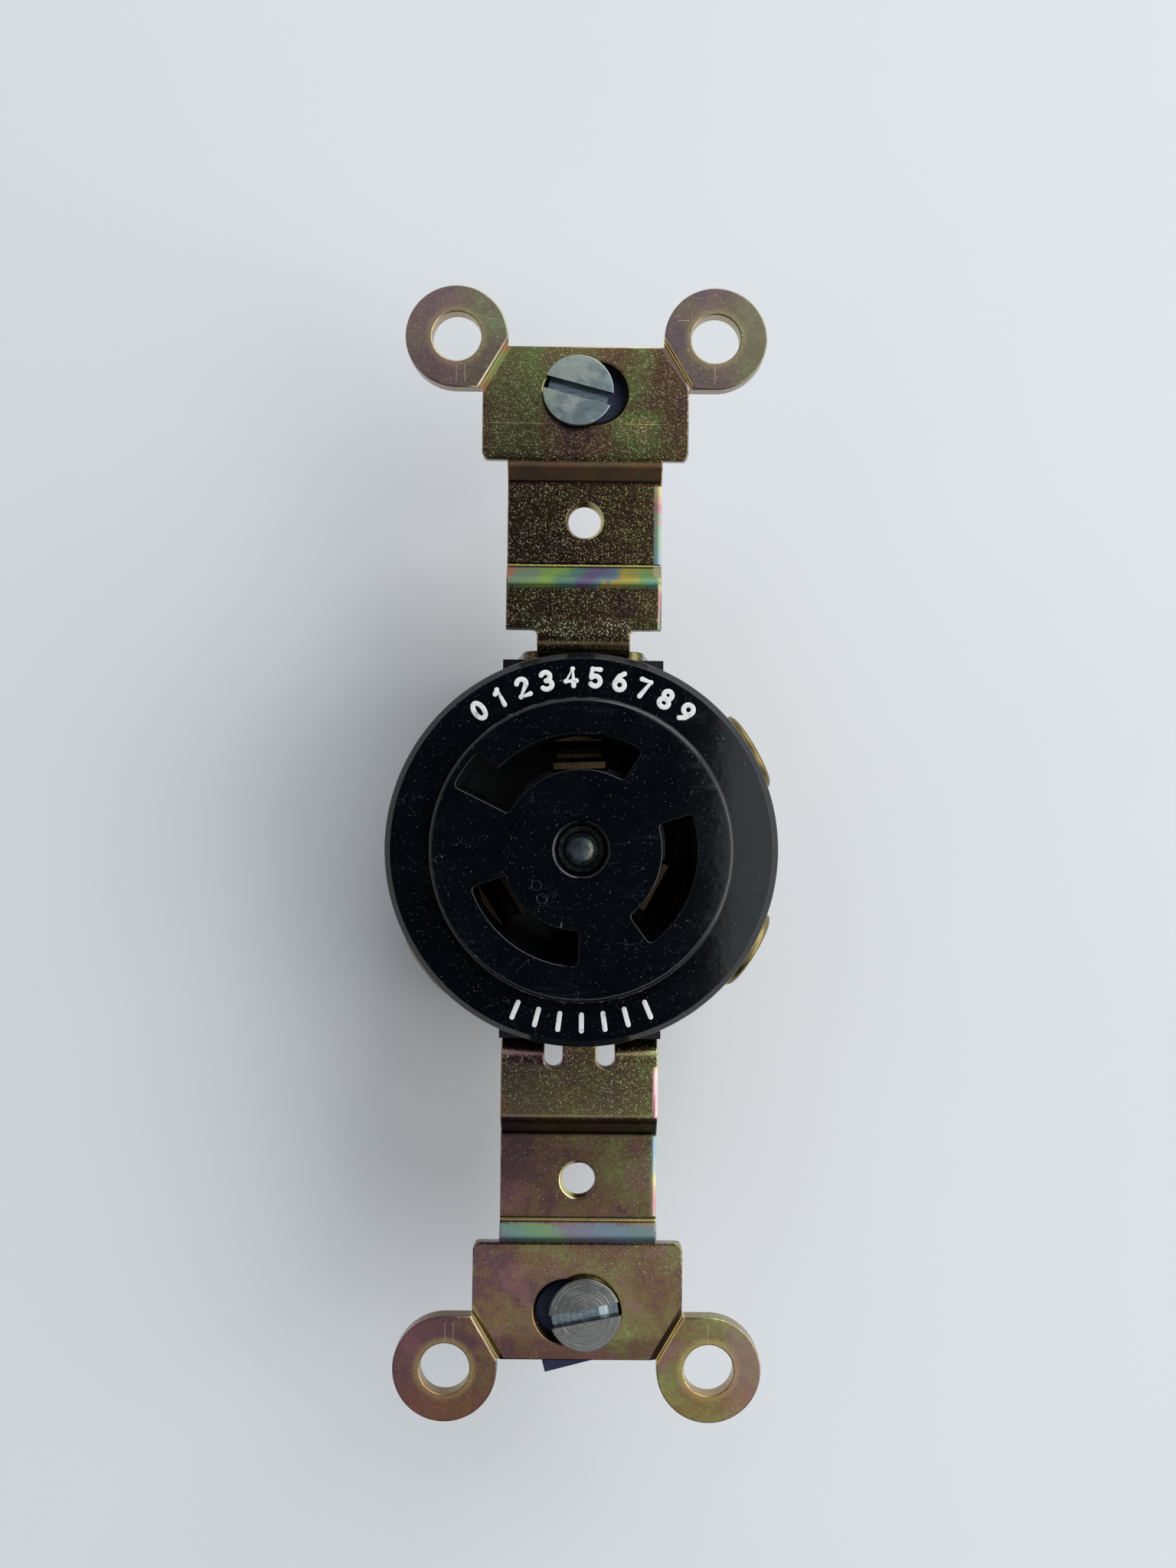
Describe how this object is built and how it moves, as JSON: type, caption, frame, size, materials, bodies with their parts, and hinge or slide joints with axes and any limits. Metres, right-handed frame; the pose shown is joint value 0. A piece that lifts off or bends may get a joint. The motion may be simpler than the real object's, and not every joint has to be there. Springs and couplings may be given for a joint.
{
  "type": "locking receptacle",
  "caption": "Round flush locking receptacle with curved blade slots, side screw terminals and a plated steel wrap-around strap with break-off ears.",
  "frame": {"origin": "on the face axis, in the front plane of the strap's end plates and ears", "axes": "+Z out of the face, +Y along the strap towards its necked end"},
  "size_m": [0.036, 0.103, 0.0291],
  "materials": {
    "strap_zinc": "yellow zinc chromate plated, patchy purple, green and gold",
    "face_black": "glossy moulded thermoset",
    "body_black": "semi-gloss moulded thermoset",
    "rivet_zinc": "bluish zinc plated",
    "contact_copper": "bronze spring strip",
    "terminal_brass": "stamped brass",
    "screw_brass": "turned brass",
    "screw_zinc": "bluish zinc plated",
    "screw_steel": "turned steel, tarnished",
    "retainer_fibre": "vulcanised fibre"
  },
  "bodies": {
    "chassis": {"mounting_strap": "strap_zinc", "front_face": "face_black", "rear_body": "body_black", "rear_cover": "body_black", "centre_rivet": "rivet_zinc", "rivet_washer": "rivet_zinc", "contact_a": "contact_copper", "contact_b": "contact_copper", "contact_c": "contact_copper", "terminal_plate_a": "terminal_brass", "terminal_plate_b": "terminal_brass", "terminal_plate_c": "terminal_brass", "contact_rivets": "terminal_brass"},
    "clamp_a": {"pressure_plate_a": "terminal_brass"},
    "binding_screw_a": {"terminal_screw_a": "screw_brass"},
    "leaf_a": {"spring_leaf_a": "contact_copper"},
    "clamp_b": {"pressure_plate_b": "terminal_brass"},
    "binding_screw_b": {"terminal_screw_b": "screw_brass"},
    "leaf_b": {"spring_leaf_b": "contact_copper"},
    "clamp_c": {"pressure_plate_c": "terminal_brass"},
    "binding_screw_c": {"terminal_screw_c": "screw_brass"},
    "leaf_c": {"spring_leaf_c": "contact_copper"},
    "upper_retainer": {"screw_retainer_upper": "retainer_fibre"},
    "upper_screw": {"mounting_screw_upper": "screw_zinc"},
    "lower_retainer": {"screw_retainer_lower": "retainer_fibre"},
    "lower_screw": {"mounting_screw_lower": "screw_steel"}
  },
  "joints": [
    {"name": "clamp_a_slide", "type": "slide", "parent": "chassis", "child": "clamp_a", "axis": [0.866, 0.5, 0], "range_m": [-0.00035, 0.00203]},
    {"name": "terminal_screw_a_turn", "type": "hinge", "parent": "clamp_a", "child": "binding_screw_a", "pos_m": [0.01516, 0.00875, -0.008], "axis": [0.866, 0.5, 0], "range_deg": [-158.74, 921.29]},
    {"name": "leaf_a_flex", "type": "hinge", "parent": "chassis", "child": "leaf_a", "pos_m": [-0.00035, 0.00999, -0.0151], "axis": [-0.9994, -0.0349, 0], "range_deg": [0, 2.5], "stiffness_Nm_per_rad": 1},
    {"name": "clamp_b_slide", "type": "slide", "parent": "chassis", "child": "clamp_b", "axis": [0.8526, -0.5225, 0], "range_m": [-0.0006, 0.00178]},
    {"name": "terminal_screw_b_turn", "type": "hinge", "parent": "clamp_b", "child": "binding_screw_b", "pos_m": [0.01492, -0.00914, -0.008], "axis": [0.8526, -0.5225, 0], "range_deg": [-272.13, 807.91]},
    {"name": "leaf_b_flex", "type": "hinge", "parent": "chassis", "child": "leaf_b", "pos_m": [0.00883, -0.00469, -0.0151], "axis": [0.4695, 0.8829, 0], "range_deg": [0, 2.5], "stiffness_Nm_per_rad": 1},
    {"name": "clamp_c_slide", "type": "slide", "parent": "chassis", "child": "clamp_c", "axis": [-0.7826, -0.6225, 0], "range_m": [-0.0002, 0.00218]},
    {"name": "terminal_screw_c_turn", "type": "hinge", "parent": "clamp_c", "child": "binding_screw_c", "pos_m": [-0.0137, -0.01089, -0.008], "axis": [-0.7826, -0.6225, 0], "range_deg": [-90.71, 989.32]},
    {"name": "leaf_c_flex", "type": "hinge", "parent": "chassis", "child": "leaf_c", "pos_m": [-0.00848, -0.0053, -0.0151], "axis": [0.5299, -0.848, 0], "range_deg": [0, 2.5], "stiffness_Nm_per_rad": 1},
    {"name": "upper_retainer_slide", "type": "slide", "parent": "chassis", "child": "upper_retainer", "axis": [1, 0, 0], "range_m": [-0.00045, 0.00185]},
    {"name": "upper_screw_turn", "type": "hinge", "parent": "upper_retainer", "child": "upper_screw", "pos_m": [-0.0007, 0.04167, 0], "axis": [0, 0, 1], "continuous": true},
    {"name": "lower_retainer_slide", "type": "slide", "parent": "chassis", "child": "lower_retainer", "axis": [1, 0, 0], "range_m": [-0.00185, 0.00045]},
    {"name": "lower_screw_turn", "type": "hinge", "parent": "lower_retainer", "child": "lower_screw", "pos_m": [0.0007, -0.04167, 0], "axis": [0, 0, 1], "continuous": true}
  ],
  "couplings": [
    {"joint": "terminal_screw_a_turn", "follows": "clamp_a_slide", "rad_per_m": 7915.8},
    {"joint": "terminal_screw_b_turn", "follows": "clamp_b_slide", "rad_per_m": 7915.8},
    {"joint": "terminal_screw_c_turn", "follows": "clamp_c_slide", "rad_per_m": 7915.8}
  ]
}
